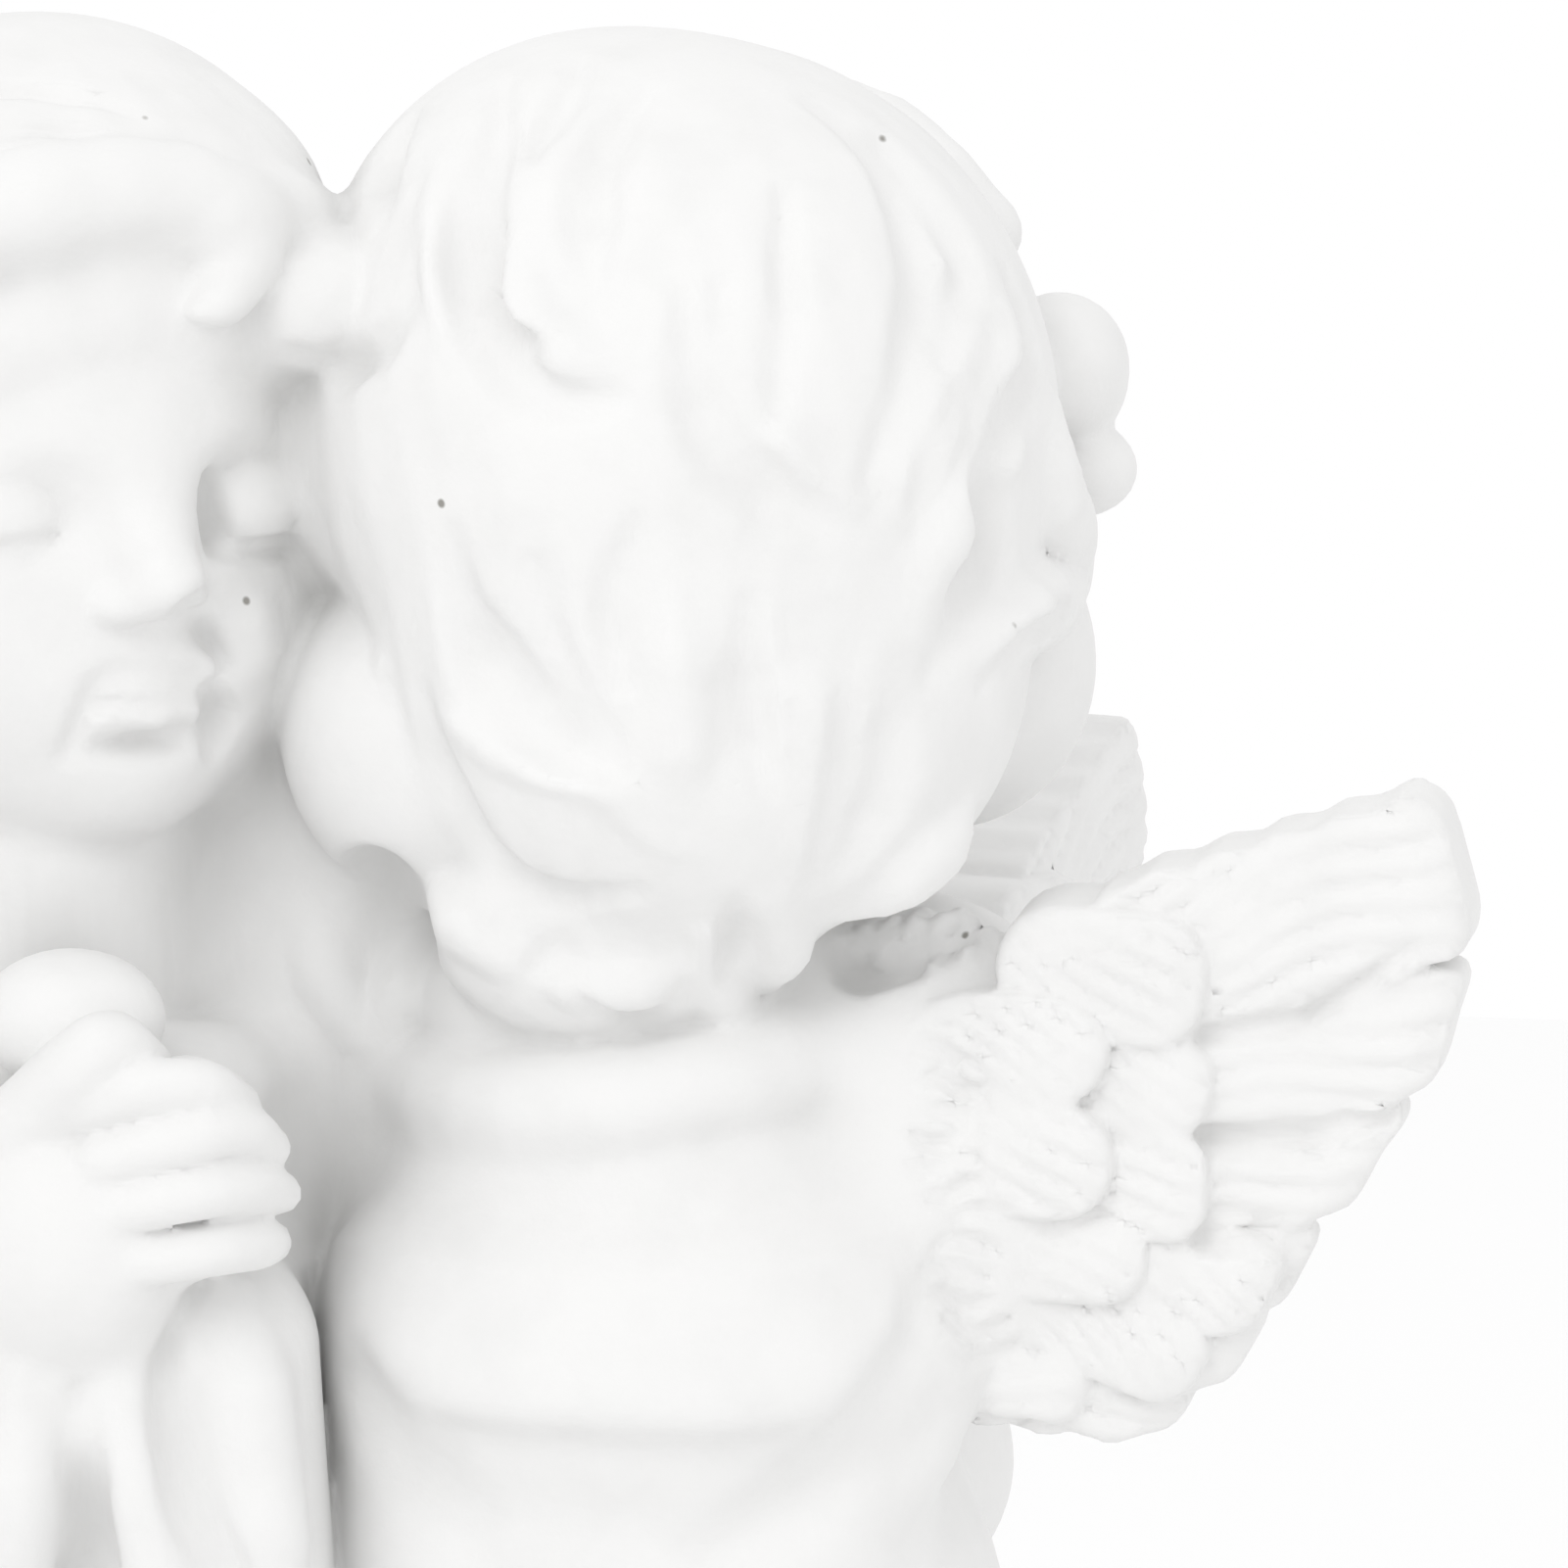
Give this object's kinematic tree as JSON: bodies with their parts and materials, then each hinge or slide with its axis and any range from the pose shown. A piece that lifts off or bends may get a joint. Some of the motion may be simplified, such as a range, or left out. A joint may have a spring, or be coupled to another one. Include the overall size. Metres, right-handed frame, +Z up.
{
  "type": "angel figurine",
  "caption": "Small white plaster figurine of two winged cherub children in long gowns, side by side and facing opposite ways with folded hands, cast as one with a low oval base.",
  "frame": {"origin": "middle of the flat underside of the oval base, which is also the middle of the overall width and depth", "axes": "+Z up; +X along the length of the base, from the front-facing child to the rear-facing child; -Y towards the side where one child faces the viewer"},
  "size_m": [0.0929, 0.0538, 0.1171],
  "materials": {
    "plaster": "matt white cast plaster, unpainted, with small casting pits"
  },
  "bodies": {
    "root": {"cherub_pair": "plaster"}
  },
  "joints": []
}
